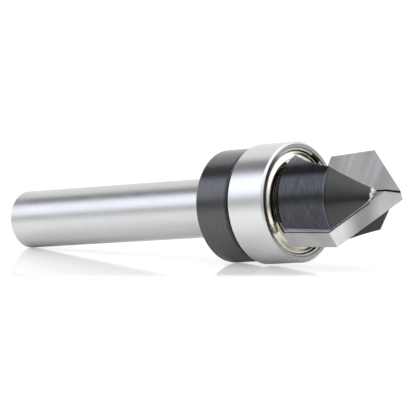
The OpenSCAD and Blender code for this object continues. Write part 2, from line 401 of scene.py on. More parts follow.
def new_group(
    name: str, inputs: dict[str, float], outputs: tuple[str, ...], vectors: tuple[str, ...] = ()
) -> tuple[NodeTree, Nodes, Node, Node]:
    """Makes an empty node group with named sockets.

    Args:
        name: Name of the group.
        inputs: Name and first value of each plain input.
        outputs: Names of the plain outputs.
        vectors: Names of the vector outputs.

    Returns:
        The group, its node adder, its input node and its output node.
    """
    tree = bpy.data.node_groups.new(name, "ShaderNodeTree")
    for key, value in inputs.items():
        socket = tree.interface.new_socket(key, in_out="INPUT", socket_type="NodeSocketFloat")
        socket.default_value = value
    for keys, kind in ((outputs, "NodeSocketFloat"), (vectors, "NodeSocketVector")):
        for key in keys:
            tree.interface.new_socket(key, in_out="OUTPUT", socket_type=kind)
    nodes = Nodes(tree)
    return tree, nodes, nodes.add("NodeGroupInput"), nodes.add("NodeGroupOutput")


def turned_marks_group() -> NodeTree:
    """Rings that a lathe or a grinding wheel leaves round the bit's axis.

    The noise is read at (distance from the axis times the normal's height, height), so its lines
    run round a cylinder and make circles on an end face. A small share of the place across the
    axis lets each line fade round the bit.

    Returns:
        A group with inputs Fineness and Coarseness, both in lines per metre, and Fade, the share
        of the place across the axis. Its outputs are Fine and Coarse, each from 0 to 1.
    """
    tree, nodes, given, result = new_group(
        "turned_marks", {"Fineness": 9000.0, "Coarseness": 1500.0, "Fade": 0.03}, ("Fine", "Coarse")
    )
    normal = nodes.add("ShaderNodeTexCoord").outputs["Normal"]
    upright = nodes.math("ABSOLUTE", nodes.upward(normal))
    faded = nodes.scale(nodes.place, given.outputs["Fade"])
    drift = nodes.add("ShaderNodeSeparateXYZ", {0: faded}).outputs
    across = nodes.math("MULTIPLY_ADD", nodes.distance, upright, drift[1])
    spot = nodes.add("ShaderNodeCombineXYZ", {0: across, 1: nodes.height, 2: drift[0]})
    for output, density in (("Fine", "Fineness"), ("Coarse", "Coarseness")):
        marks = nodes.lines(nodes.scale(spot.outputs[0], given.outputs[density]))
        nodes.feed(result, {output: marks})
    return tree


def handling_group() -> NodeTree:
    """Soft patches of haze and a few hair scratches, as a handled tool has.

    Returns:
        A group with inputs Patch and Scratch, in marks per metre, and outputs Haze and
        Scratches, each from 0 to 1.
    """
    tree, nodes, given, result = new_group(
        "handling_marks", {"Patch": 260.0, "Scratch": 420.0}, ("Haze", "Scratches")
    )
    cloud = nodes.noise(nodes.scale(nodes.place, given.outputs["Patch"]), 1.0, 4.0)
    most = 0.0
    for turn in ((0.5, 0.2, 0.9), (-0.7, 0.6, 0.3), (1.1, -0.4, -0.8)):
        stretched = nodes.turned(turn, (0.06, 1.0, 1.0))
        scaled = nodes.scale(stretched, given.outputs["Scratch"])
        cells = nodes.add(
            "ShaderNodeTexVoronoi", {"Vector": scaled, "Scale": 1.0}, feature="DISTANCE_TO_EDGE"
        )
        most = nodes.math("MAXIMUM", most, nodes.ramp(cells.outputs["Distance"], 0.012, 0.0))
    nodes.feed(result, {"Haze": nodes.ramp(cloud, 0.35, 0.7), "Scratches": most})
    return tree


def rounded_edges_group() -> NodeTree:
    """Rounded edges and a mask of where they are.

    The rounded normal comes from a small bevel, and the mask grows as it leaves the true normal.
    The finishes paint a highlight along this mask.

    Returns:
        A group with input Width in metres, and outputs Edge, from 0 to 1, and Normal.
    """
    tree, nodes, given, result = new_group("rounded_edges", {"Width": 0.00005}, ("Edge",), ("Normal",))
    bevel = nodes.add("ShaderNodeBevel", {"Radius": given.outputs["Width"]}, samples=8)
    agree = nodes.dot(bevel.outputs[0], nodes.facing)
    nodes.feed(result, {"Edge": nodes.ramp(agree, 0.995, 0.85), "Normal": bevel.outputs[0]})
    return tree


@dataclass(frozen=True)
class Effects:
    """The node groups that several finishes share."""

    turned_marks: NodeTree
    handling: NodeTree
    rounded_edges: NodeTree


def new_material(name: str, metallic: float) -> tuple[Material, Nodes, Node]:
    """Makes a material with one Principled BSDF.

    Args:
        name: Name of the material.
        metallic: Whether it is a metal, 1 or 0.

    Returns:
        The material, its node adder and the shader node.
    """
    material = bpy.data.materials.new(name)
    material.use_nodes = True
    nodes = Nodes(material.node_tree)
    shader = nodes.add("ShaderNodeBsdfPrincipled", {"Metallic": metallic})
    nodes.add("ShaderNodeOutputMaterial", {"Surface": shader.outputs[0]})
    return material, nodes, shader


# Finishes


@dataclass(frozen=True)
class TurnedMetal:
    """A bare metal that was turned or ground round the bit's axis.

    The bevels of a ring lie farther than rim_reach from the height rim_middle and farther than
    rim_r from the axis, and carry painted shade. A crease, a painted shade line, fades in from the
    first of crease_soft_mm outside it to the second inside.
    """

    name: str
    colour: Colour
    roughness: float
    line_contrast: float = 0.06
    line_gloss: float = 0.05
    haze: float = 0.06
    scratches: float = 0.03
    relief: float = 0.0000004
    edge_width: float = 0.00004
    edge_highlight_gain: float = 1.12
    rim_middle: float = 0.0
    rim_reach: float = 1.0
    rim_r: float = 1.0
    bevel_painted_shade: float = 1.0
    rim_soft: float = 0.00003
    creases_mm: tuple[Pair, ...] = ()
    crease_soft_mm: Pair = (0.01, 0.02)
    painted_crease_shade: Colour = (0.02, 0.019, 0.016)

    def crease(self, nodes: Nodes) -> Socket | float:
        """Marks the corners where shade is painted near black, each between two distances from the
        axis.

        Args:
            nodes: Node adder of the material.

        Returns:
            A mask from 0 to 1, or 0 where there are no corners.
        """
        most = 0.0
        before, after = self.crease_soft_mm
        for near, far in self.creases_mm:
            past = nodes.ramp(nodes.distance, (near - before) * MM, (near + after) * MM)
            short = nodes.ramp(nodes.distance, (far + before) * MM, (far - after) * MM)
            most = nodes.math("MAXIMUM", most, nodes.times(past, short))
        return most

    def rim(self, nodes: Nodes) -> Socket:
        """Marks the bevels, where shade is painted.

        Args:
            nodes: Node adder of the material.

        Returns:
            A mask from 0 to 1.
        """
        reach = nodes.math("ABSOLUTE", nodes.math("SUBTRACT", nodes.height, self.rim_middle))
        far = nodes.ramp(reach, self.rim_reach, self.rim_reach + self.rim_soft)
        out = nodes.ramp(nodes.distance, self.rim_r, self.rim_r + self.rim_soft)
        return nodes.times(far, out)

    def build(self, effects: Effects) -> Material:
        """Makes the material.

        Args:
            effects: The shared node groups.

        Returns:
            A metal whose lines change its shade, its gloss and its relief.
        """
        material, nodes, shader = new_material(self.name, 1.0)
        lines = nodes.rings(effects.turned_marks, 0.5)
        worn = nodes.group(effects.handling)
        edge = nodes.group(effects.rounded_edges, Width=self.edge_width)
        shade = nodes.blend(lines, shaded(self.colour, 1 - self.line_contrast), self.colour)
        # Painted highlight: the edges are coloured brighter than the metal.
        shade = nodes.blend(edge["Edge"], shade, shaded(self.colour, self.edge_highlight_gain))
        # Painted shade: the bevels are coloured darker.
        shade = nodes.blend(self.rim(nodes), shade, shaded(self.colour, self.bevel_painted_shade))
        # Painted shade: the creases are coloured near black.
        shade = nodes.blend(self.crease(nodes), shade, self.painted_crease_shade)
        marred = (worn["Haze"], self.haze), (worn["Scratches"], self.scratches)
        rough = nodes.plus(self.roughness, (lines, self.line_gloss), *marred)
        bump = nodes.bump(self.relief, lines, Normal=edge["Normal"])
        nodes.feed(shader, {"Base Color": shade, "Roughness": rough, "Normal": bump})
        return material


@dataclass(frozen=True)
class BlackedSteel:
    """Steel with a thin black skin, and the bare ground shank below it where it has one.

    Above cone_above, and within round_r of the axis, the skin is the duller one of a cone and a
    gullet. A painted highlight line and a painted shade line, each a band in mm from cone_above,
    part the two.
    """

    name: str
    skin: Colour
    skin_roughness: float
    streaks: float
    bare: Colour = (0.64, 0.64, 0.63)
    bare_roughness: float = 0.27
    bare_below: float = -1.0
    bare_soft: float = 0.0001
    bare_dull: float = 0.95
    bare_fineness: float = 12000.0
    bare_coarseness: float = 2600.0
    bare_coarse_share: float = 0.3
    bare_relief: float = 0.2
    cone_above: float = 1.0
    cone_soft: float = 0.00002
    round_r: float = 0.0
    round_soft: float = 0.00006
    cone_skin: Colour = (0.03, 0.03, 0.03)
    cone_dull: float = 0.8
    rim_highlight_mm: Triple = (-0.06, 0.07, 0.03)
    rim_highlight: Colour = (0.08, 0.085, 0.11)
    rim_painted_shade_mm: Triple = (0.08, 0.1, 0.05)
    rim_painted_shade: Colour = (0.004, 0.004, 0.004)
    rim_painted_shade_share: float = 0.8
    edge_width: float = 0.00006
    edge_highlight: Colour = (0.3, 0.31, 0.34)
    edge_highlight_share: float = 0.5
    grain: float = 0.25
    grain_wear: float = 1.2
    grains_per_metre: float = 9000.0
    speck_and_painted_shade: Colour = (0.004, 0.004, 0.003)
    painted_shade_from: float = 1.0
    painted_shade_over: float = 0.00045
    painted_shade_share: float = 0.6
    coarse_share: float = 0.6
    fade: float = 0.03
    fineness: float = 5000.0
    coarseness: float = 1400.0
    relief: float = 0.0000012
    coat: float = 1.0
    coat_roughness: float = 0.12
    coat_ior: float = 1.55

    def build(self, effects: Effects) -> Material:
        """Makes the material.

        Args:
            effects: The shared node groups.

        Returns:
            A metal that is bare below the height bare_below and blacked above it.
        """
        material, nodes, shader = new_material(self.name, 1.0)
        height = nodes.height
        blacked = nodes.step(height, self.bare_below, self.bare_soft)
        densities = {"Fineness": self.fineness, "Coarseness": self.coarseness, "Fade": self.fade}
        lines = nodes.rings(effects.turned_marks, self.coarse_share, **densities)
        densities = {"Fineness": self.bare_fineness, "Coarseness": self.bare_coarseness}
        hair = nodes.rings(effects.turned_marks, self.bare_coarse_share, **densities)
        worn = nodes.group(effects.handling)
        edge = nodes.group(effects.rounded_edges, Width=self.edge_width)

        speck = nodes.ramp(nodes.noise(nodes.place, self.grains_per_metre, 3.0), 0.3, 0.75)
        deep, bright = shaded(self.skin, 1 - self.streaks), shaded(self.skin, 1 + self.streaks)
        skin = nodes.blend(lines, deep, bright)
        milled = nodes.ramp(nodes.distance, self.round_r, self.round_r - self.round_soft)
        conical = nodes.step(height, self.cone_above, self.cone_soft)
        conical = nodes.math("MAXIMUM", conical, milled)
        dull = nodes.blend(speck, shaded(self.cone_skin, self.cone_dull), self.cone_skin)
        skin = nodes.blend(conical, skin, dull)
        from_rim = nodes.math("SUBTRACT", height, self.cone_above)
        turned = nodes.math("SUBTRACT", 1.0, milled)
        # Painted highlight and painted shade: a bright band and a dark band where the turned
        # cylinder meets the cone.
        line = nodes.times(nodes.band(from_rim, self.rim_highlight_mm), turned)
        skin = nodes.blend(line, skin, self.rim_highlight)
        gap = nodes.times(nodes.band(from_rim, self.rim_painted_shade_mm), self.rim_painted_shade_share)
        skin = nodes.blend(gap, skin, self.rim_painted_shade)
        # Dark grain specks, and painted shade that darkens the skin over a band above its start
        # height.
        spot = nodes.times(nodes.math("SUBTRACT", 1.0, speck), self.grain)
        dark_to = self.painted_shade_from + self.painted_shade_over
        painted_shade_mask = nodes.ramp(height, self.painted_shade_from, dark_to, 0.0, self.painted_shade_share)
        skin = nodes.blend(nodes.math("MAXIMUM", spot, painted_shade_mask), skin, self.speck_and_painted_shade)
        # Painted highlight: the edges are coloured a lighter bluish grey.
        skin = nodes.blend(nodes.times(edge["Edge"], self.edge_highlight_share), skin, self.edge_highlight)
        bare = nodes.blend(hair, shaded(self.bare, self.bare_dull), self.bare)

        skin_rough = nodes.plus(self.skin_roughness, (lines, 0.06), (worn["Haze"], 0.08))
        marred = (worn["Haze"], 0.05), (worn["Scratches"], 0.03)
        bare_rough = nodes.plus(self.bare_roughness, (hair, 0.05), *marred)
        # The coat also thins at the grain specks and under the painted shade.
        wear_and_painted_shade = nodes.math("MAXIMUM", nodes.times(spot, self.grain_wear), painted_shade_mask)
        glaze = nodes.math("SUBTRACT", self.coat, wear_and_painted_shade)
        ridges = nodes.math("MULTIPLY_ADD", lines, self.streaks, 1.0 - self.streaks)
        glaze = nodes.times(glaze, nodes.lerp(conical, ridges, 1.0))
        relief = nodes.lerp(blacked, nodes.times(hair, self.bare_relief), lines)
        values = {
            "Base Color": nodes.blend(blacked, bare, skin),
            "Roughness": nodes.lerp(blacked, bare_rough, skin_rough),
            "Coat Weight": nodes.times(blacked, glaze),
            "Coat Roughness": self.coat_roughness,
            "Coat IOR": self.coat_ior,
            "Normal": nodes.bump(self.relief, relief, Normal=edge["Normal"]),
        }
        nodes.feed(shader, values)
        return material


@dataclass(frozen=True)
class GroundCarbide:
    """Sintered carbide, ground flat on each face with a fine wheel.

    The planes are those of wing 2, each as a unit direction and the distance of the plane from
    the origin along it. Wing 1 is the same, half a turn round the axis.
    """

    name: str
    wing: int
    grind_turn: Triple
    colour: Colour = (0.9, 0.89, 0.865)
    roughness: float = 0.36
    dull: float = 0.72
    wheel_stretch: Triple = (40.0, 2600.0, 2600.0)
    wheel_gloss: float = 0.06
    wheel_relief: float = 0.4
    band_stretch: Triple = (60.0, 330.0, 330.0)
    band_share: float = 0.85
    band_relief: float = 50.0
    grains_per_metre: float = 14000.0
    grain_colour: Colour = (0.2, 0.2, 0.2)
    grain_share: float = 0.12
    grain_relief: float = 0.5
    edge_width: float = 0.00003
    edge_highlight_gain: float = 1.3
    relief: float = 0.0000006
    back_way: Triple = (0.0, -0.99705, -0.07672)
    back_at_mm: float = -5.2137
    back_line_mm: Pair = (0.13, 0.06)
    end_way: Triple = (-0.93358, -0.35837, 0.0)
    end_at_mm: float = -0.4035
    end_line_mm: Pair = (0.26, 0.16)
    nose_at_mm: float = 50.62
    dark_joint_and_painted_shade: Colour = (0.012, 0.012, 0.014)
    rake_painted_shade: float = 0.84
    side_painted_shade: float = 0.54
    painted_shade_drift: float = 0.0003
    painted_shade_mm: tuple[Pair, ...] = (
        (47.0, 1.0),
        (48.3, 0.95),
        (49.5, 0.48),
        (50.3, 0.48),
        (51.6, 0.7),
        (53.3, 0.64),
    )

    def own(self, way: Triple) -> Triple:
        """Turns a direction of wing 2 to this wing."""
        turn = 1.0 if self.wing == 2 else -1.0
        return (way[0] * turn, way[1] * turn, way[2])

    def line(self, nodes: Nodes, way: Triple, at_mm: float, line_mm: Pair) -> Socket:
        """Marks a line just inside a plane, on all faces but the one that lies in the plane.

        Args:
            nodes: Node adder of the material.
            way: Unit direction of the plane, into the carbide.
            at_mm: Distance of the plane from the origin along it.
            line_mm: Where the line ends and up to where it is full, from the plane.

        Returns:
            A mask from 0 to 1.
        """
        depth = nodes.math("SUBTRACT", nodes.dot(nodes.place, self.own(way)), at_mm * MM)
        near = nodes.ramp(depth, line_mm[0] * MM, line_mm[1] * MM)
        squarely = nodes.math("ABSOLUTE", nodes.dot(nodes.facing, self.own(way)))
        return nodes.times(near, nodes.ramp(squarely, 0.98, 0.9))

    def seams(self, nodes: Nodes) -> Socket:
        """Marks a dark line along the braze joint, and painted shade along the tip's inner end.

        Args:
            nodes: Node adder of the material.

        Returns:
            A mask from 0 to 1.
        """
        brazed = nodes.ramp(nodes.height, (self.nose_at_mm + 0.1) * MM, self.nose_at_mm * MM)
        above = nodes.math("SUBTRACT", 1.0, brazed)
        back = self.line(nodes, self.back_way, self.back_at_mm, self.back_line_mm)
        end = self.line(nodes, self.end_way, self.end_at_mm, self.end_line_mm)
        back, end = nodes.times(back, brazed), nodes.times(end, above)
        return nodes.math("MAXIMUM", back, end)

    def painted_face_shade(self, nodes: Nodes, bands: Socket) -> Socket:
        """Paints shade on the relief faces, changing along their length, and on the rake and side
        faces by which way they face.

        Args:
            nodes: Node adder of the material.
            bands: Broad wheel marks, which make the shades' borders uneven.

        Returns:
            A grey that multiplies the carbide's colour.
        """
        # Painted shade: the rake, side and relief faces each get their own shade, and the relief
        # faces change along their length.
        relief = nodes.ramp(nodes.dot(nodes.facing, self.own(self.back_way)), 0.9, 0.6)
        level = nodes.plus(nodes.height, (bands, self.painted_shade_drift))
        first, last = self.painted_shade_mm[0][0], self.painted_shade_mm[-1][0]
        share = nodes.add(
            "ShaderNodeMapRange", {"Value": level, "From Min": first * MM, "From Max": last * MM}
        )
        ramp = nodes.add("ShaderNodeValToRGB", {"Fac": share.outputs["Result"]})
        stops = ramp.color_ramp.elements
        while len(stops) < len(self.painted_shade_mm):
            stops.new(0.5)
        for stop, (at_mm, level_there) in zip(stops, self.painted_shade_mm):
            stop.position = (at_mm - first) / (last - first)
            stop.color = (level_there, level_there, level_there, 1.0)
        slanted = nodes.ramp(nodes.upward(nodes.facing), 0.2, 0.4)
        painted_along_faces = nodes.blend(slanted, shaded(WHITE, self.side_painted_shade), ramp.outputs["Color"])
        return nodes.blend(relief, shaded(WHITE, self.rake_painted_shade), painted_along_faces)

    def build(self, effects: Effects) -> Material:
        """Makes the material.

        Args:
            effects: The shared node groups.

        Returns:
            A grey metal with long soft wheel marks, a fine grain, painted edge highlights and
            painted face shade.
        """
        material, nodes, shader = new_material(self.name, 1.0)
        wheel = nodes.lines(nodes.turned(self.grind_turn, self.wheel_stretch))
        bands = nodes.lines(nodes.turned(self.grind_turn, self.band_stretch), 1.0)
        grain = nodes.noise(nodes.place, self.grains_per_metre)
        edge = nodes.group(effects.rounded_edges, Width=self.edge_width)
        marks = nodes.lerp(self.band_share, wheel, bands)
        shade = nodes.blend(marks, shaded(self.colour, self.dull), self.colour)
        shade = nodes.blend(nodes.times(grain, self.grain_share), shade, self.grain_colour)
        # Painted highlight: the edges are coloured brighter than the carbide.
        shade = nodes.blend(edge["Edge"], shade, shaded(self.colour, self.edge_highlight_gain))
        # The carbide's colour is multiplied by the painted face shade.
        inputs = {0: 1.0, 6: shade, 7: self.painted_face_shade(nodes, bands)}
        gloss = nodes.add("ShaderNodeMix", inputs, data_type="RGBA", blend_type="MULTIPLY")
        # A dark line along the braze joint, and painted shade along the tip's inner end.
        shade = nodes.blend(self.seams(nodes), gloss.outputs[2], self.dark_joint_and_painted_shade)
        rough = nodes.plus(self.roughness, (wheel, self.wheel_gloss))
        relief = nodes.times(wheel, self.wheel_relief)
        relief = nodes.plus(relief, (grain, self.grain_relief), (bands, self.band_relief))
        bump = nodes.bump(self.relief, relief, Normal=edge["Normal"])
        nodes.feed(shader, {"Base Color": shade, "Roughness": rough, "Normal": bump})
        return material


@dataclass(frozen=True)
class CastSolder:
    """Silver solder that ran along a seam and froze slightly lumpy."""

    name: str
    colour: Colour
    dull: float = 0.72
    roughness: float = 0.34
    lump_gloss: float = -0.1
    haze: float = 0.1
    film: Colour = (0.28, 0.285, 0.35)
    film_below: float = -1.0
    film_soft: float = 0.0001
    lumps_per_metre: float = 2600.0
    relief: float = 0.00002

    def build(self, effects: Effects) -> Material:
        """Makes the material.

        Args:
            effects: The shared node groups.

        Returns:
            A pale warm metal with duller hollows, and a tempered blue film below film_below.
        """
        material, nodes, shader = new_material(self.name, 1.0)
        lumps = nodes.ramp(nodes.noise(nodes.place, self.lumps_per_metre), 0.3, 0.75)
        worn = nodes.group(effects.handling)
        filmed = nodes.step(nodes.height, self.film_below, -self.film_soft)
        shade = nodes.blend(lumps, shaded(self.colour, self.dull), self.colour)
        shade = nodes.blend(filmed, shade, self.film)
        rough = nodes.plus(self.roughness, (lumps, self.lump_gloss), (worn["Haze"], self.haze))
        bump = nodes.bump(self.relief, lumps)
        nodes.feed(shader, {"Base Color": shade, "Roughness": rough, "Normal": bump})
        return material


def dress(piece: Object, material: Material) -> None:
    """Gives every slot of a piece the same material.

    Args:
        piece: CAD node or new piece.
        material: What it wears.
    """
    slots = piece.data.materials
    if len(slots) == 0:
        slots.append(material)
    for number in range(len(slots)):
        slots[number] = material


# Pieces


@dataclass
class Cutter:
    """The steel body, the two carbide tips and their braze.

    A bead's stops are places and radii on wing 2.
    """

    effects: Effects
    coat_starts_mm: float = 32.0
    cone_starts_mm: float = 47.24
    round_r_mm: float = 5.24
    braze_shows_above_mm: float = 50.6
    grind_turn: float = 0.35
    bead_stops_mm: tuple[tuple[float, float, float, float], ...] = (
        (0.02, 1.62, 50.64, 0.07),
        (-0.35, 1.63, 50.68, 0.22),
        (-0.75, 1.55, 50.7, 0.25),
        (-1.15, 1.42, 50.66, 0.12),
        (-1.5, 1.36, 50.47, 0.08),
        (-1.8, 1.385, 50.2, 0.03),
    )
    bead_steps: int = 72
    bead_sides: int = 20

    def dress(self) -> None:
        """Gives the cutter's CAD nodes their finishes."""
        body = BlackedSteel(
            name="shank_and_head",
            skin=(0.026, 0.029, 0.037),
            skin_roughness=0.12,
            streaks=0.42,
            coarse_share=0.25,
            fade=0.12,
            grain=0.12,
            bare_below=self.coat_starts_mm * MM,
            cone_above=self.cone_starts_mm * MM,
            round_r=self.round_r_mm * MM,
            fineness=9000.0,
            coarseness=3600.0,
            edge_width=0.00012,
        )
        dress(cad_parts["cutter_body"], body.build(self.effects))
        seam = CastSolder(
            name="braze_seam",
            colour=(0.5, 0.49, 0.47),
            film_below=self.braze_shows_above_mm * MM,
        ).build(self.effects)
        for wing, half_turn in ((1, 0.0), (2, math.pi)):
            carbide = GroundCarbide(
                name=f"ground_carbide_{wing}",
                wing=wing,
                grind_turn=(0.0, 0.7, half_turn + self.grind_turn),
            )
            dress(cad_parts[f"carbide_tip_{wing}"], carbide.build(self.effects))
            dress(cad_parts[f"braze_layer_{wing}"], seam)
        LOG.info("cutter dressed")

    def add_beads(self) -> None:
        """Lays the frozen bead of solder along the rim of the nose flat, at each tip.

        The bead's radius is the stops' smooth line, times one plus 0.16 sin(19 s + 2 a) plus
        0.1 sin(43 s - a + 1), where s is the place from 0 to 1 and a the angle round it. At both
        ends it closes as the root of 1 less the twentieth power of 2 s - 1, down to 0.02.
        """
        solder = CastSolder(name="silver_bead", colour=(0.74, 0.72, 0.66)).build(self.effects)
        place = np.linspace(0, 1, self.bead_steps)
        run = eased_path(np.array(self.bead_stops_mm), place)
        path, radius = run[:, :3], run[:, 3:]
        round_it = np.linspace(0, 2 * np.pi, self.bead_sides, endpoint=False)[None, :]
        lumps = 0.16 * np.sin(19 * place[:, None] + 2 * round_it)
        lumps += 0.1 * np.sin(43 * place[:, None] - round_it + 1)
        ends = np.sqrt(np.clip(1 - (2 * place[:, None] - 1) ** 20, 0.0004, 1))
        for number, turn in ((2, 1.0), (1, -1.0)):
            bead = tube(
                f"braze_bead_{number}",
                path * np.array([turn, turn, 1.0]) * MM,
                radius * (1 + lumps) * ends * MM,
                self.bead_sides,
            )
            dress(bead, solder)
            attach(bead, Body.CUTTER.value)
        LOG.info("braze beads laid")


@dataclass
class StopCollar:
    """The blacked collar behind the bearing, and its set screw."""

    effects: Effects
    shaded_from_mm: float = 34.35

    def dress(self) -> None:
        """Gives the collar and its screw their finishes."""
        black = BlackedSteel(
            name="blacked_collar",
            skin=(0.027, 0.028, 0.032),
            skin_roughness=0.33,
            streaks=0.12,
            coat_roughness=0.17,
            coat_ior=1.95,
            grain=0.3,
            # Painted shade: the collar is coloured darker from here up to the bearing.
            painted_shade_from=self.shaded_from_mm * MM,
            fineness=7000.0,
            coarseness=2200.0,
        )
        dress(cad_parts["stop_collar"], black.build(self.effects))
        screw = BlackedSteel(
            name="blacked_screw", skin=(0.04, 0.04, 0.045), skin_roughness=0.35, streaks=0.2
        )
        dress(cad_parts["collar_set_screw"], screw.build(self.effects))
        LOG.info("stop collar dressed")


@dataclass
class GuideBearing:
    """The shielded ball bearing that follows the work."""

    effects: Effects
    middle_mm: float = 37.68125
    half_width_mm: float = 2.38125
    outer_r_mm: float = 6.35
    bevel_mm: float = 0.2
    shield_depth_mm: float = 0.42
    shield_rise_mm: float = 0.3
    shield_sheet_mm: float = 0.15
    shield_rim_mm: float = 5.6825
    shield_slope_mm: Pair = (5.32, 4.66)
    shield_slope_inset_mm: float = 0.03
    shield_slope_steps: int = 16
    shield_bore_mm: float = 4.3125
    shield_round_mm: float = 0.015
    shield_segments: int = 160
    wire_r_mm: float = 5.6225
    wire_half_mm: float = 0.15
    wire_depth_mm: float = 0.27
    wire_gap_deg: float = 14.0
    wire_steps: int = 240
    wire_end_steps: int = 16
    wire_sides: int = 24

    def dress(self) -> None:
        """Gives the bearing's CAD nodes their finishes."""
        ring = TurnedMetal(
            name="bearing_steel_ground",
            colour=(0.69, 0.69, 0.685),
            roughness=0.24,
            line_contrast=0.02,
            line_gloss=0.015,
            haze=0.02,
            scratches=0.0,
            relief=0.00000004,
            # Painted shade in the creases by the shield and the wire ring.
            creases_mm=((5.4, 5.64), (5.715, 5.77)),
            edge_highlight_gain=1.0,
            edge_width=0.0001,
            rim_middle=self.middle_mm * MM,
            rim_reach=(self.half_width_mm - self.bevel_mm) * MM,
            rim_r=(self.outer_r_mm - self.bevel_mm) * MM,
            # Painted shade on the bevels.
            bevel_painted_shade=0.95,
        )
        race = TurnedMetal(
            name="inner_ring_painted_dark",
            # Painted shade: the inner ring is coloured far darker than the outer ring's steel.
            colour=(0.28, 0.27, 0.25),
            roughness=0.14,
            scratches=0.0,
            edge_width=0.00002,
        )
        cage = TurnedMetal(name="cage_sheet_pressed", colour=(0.6, 0.56, 0.47), roughness=0.3)
        balls = TurnedMetal(
            name="ball_steel_lapped", colour=(0.7, 0.7, 0.7), roughness=0.06, haze=0.03
        )
        for metal, start in (
            (ring, "bearing_outer_ring"),
            (race, "bearing_inner_ring"),
            (cage, "cage_"),
            (balls, "ball_"),
        ):
            material = metal.build(self.effects)
            for name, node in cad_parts.items():
                if name.startswith(start):
                    dress(node, material)
        LOG.info("guide bearing dressed")

    def shield_section(self) -> tuple[np.ndarray, np.ndarray]:
        """Draws the section of the front shield, about the bearing's middle.

        From the rim inwards the sheet climbs by the rise times 3 t t - 2 t t t, where t is the
        share of the slope already crossed. The underside is the same line one sheet lower.

        Returns:
            The section's points in metres, and one unit normal for each.
        """
        start, end = self.shield_slope_mm
        inset = self.shield_slope_inset_mm
        slope = np.linspace(start + inset, end - inset, self.shield_slope_steps)
        radius = np.concatenate([[self.shield_rim_mm], slope, [self.shield_bore_mm]])
        share = np.clip((start - radius) / (start - end), 0, 1)
        base = self.half_width_mm - self.shield_depth_mm
        top = base + self.shield_rise_mm * (3 * share**2 - 2 * share**3)
        upper = np.stack([radius, top], axis=1)
        lower = np.stack([radius, top - self.shield_sheet_mm], axis=1)[::-1]
        return rounded_section(np.concatenate([upper, lower]), self.shield_round_mm, steps=3)

    def add_shields(self) -> None:
        """Puts a softly pressed shield in place of each plain one."""
        sheet = TurnedMetal(
            name="shield_sheet_polished",
            colour=(0.93, 0.89, 0.74),
            roughness=0.1,
            line_contrast=0.05,
            haze=0.03,
            edge_width=0.00002,
            # Painted shade in the crease at the shield's rim.
            creases_mm=((5.36, 5.8),),
        ).build(self.effects)
        section, normals = self.shield_section()
        lift = np.array([0.0, self.middle_mm * MM])
        flip = np.array([1.0, -1.0])
        rear, rear_normals = (section * flip)[::-1], (normals * flip)[::-1]
        for side, points, ways in (("front", section, normals), ("rear", rear, rear_normals)):
            shield = lathe(f"pressed_shield_{side}", points + lift, ways, self.shield_segments)
            dress(shield, sheet)
            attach(shield, Body.OUTER_RACE.value)
            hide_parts(f"shield_{side}")
        LOG.info("shields pressed")

    def add_snap_rings(self) -> None:
        """Bends a wire ring with rounded ends in place of each plain one.

        The middle line is a circle with a gap. Towards each end the wire's radius falls as the
        height of a half circle does, but never to nothing.
        """
        wire = TurnedMetal(
            name="snap_wire_drawn",
            colour=(0.92, 0.91, 0.88),
            roughness=0.4,
            edge_highlight_gain=1.0,
            # Painted shade in the crease beside the wire.
            creases_mm=((5.4, 5.49),),
        ).build(self.effects)
        half_gap = math.radians(self.wire_gap_deg / 2)
        round_end = self.wire_half_mm / self.wire_r_mm
        share = np.linspace(0, 1, self.wire_end_steps)
        start = half_gap + round_end * (1 - np.cos(share * np.pi / 2))
        middle = np.linspace(start[-1], 2 * np.pi - start[-1], self.wire_steps)[1:-1]
        angle = np.concatenate([start, middle, 2 * np.pi - start[::-1]])
        from_end = np.minimum(angle, 2 * np.pi - angle) - half_gap
        inside = np.clip(1 - from_end / round_end, 0, 0.999)
        radii = self.wire_half_mm * np.sqrt(1 - inside**2)
        x, y = self.wire_r_mm * np.cos(angle), self.wire_r_mm * np.sin(angle)
        for side, way in (("front", 1), ("rear", -1)):
            height = self.middle_mm + way * (self.half_width_mm - self.wire_depth_mm)
            path = np.stack([x, y, np.full(len(angle), height)], axis=1)
            ring = tube(f"wire_ring_{side}", path * MM, radii * MM, self.wire_sides)
            dress(ring, wire)
            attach(ring, Body.OUTER_RACE.value)
            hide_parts(f"snap_ring_{side}")
        LOG.info("snap rings bent")


# Studio


@dataclass(frozen=True)
class SoftBox:
    """A strip of light that runs beside the bit, seen from it between two compass angles."""

    middle_deg: float
    half_width_deg: float
    soft_deg: float
    strength: float
    tint: Colour = WHITE


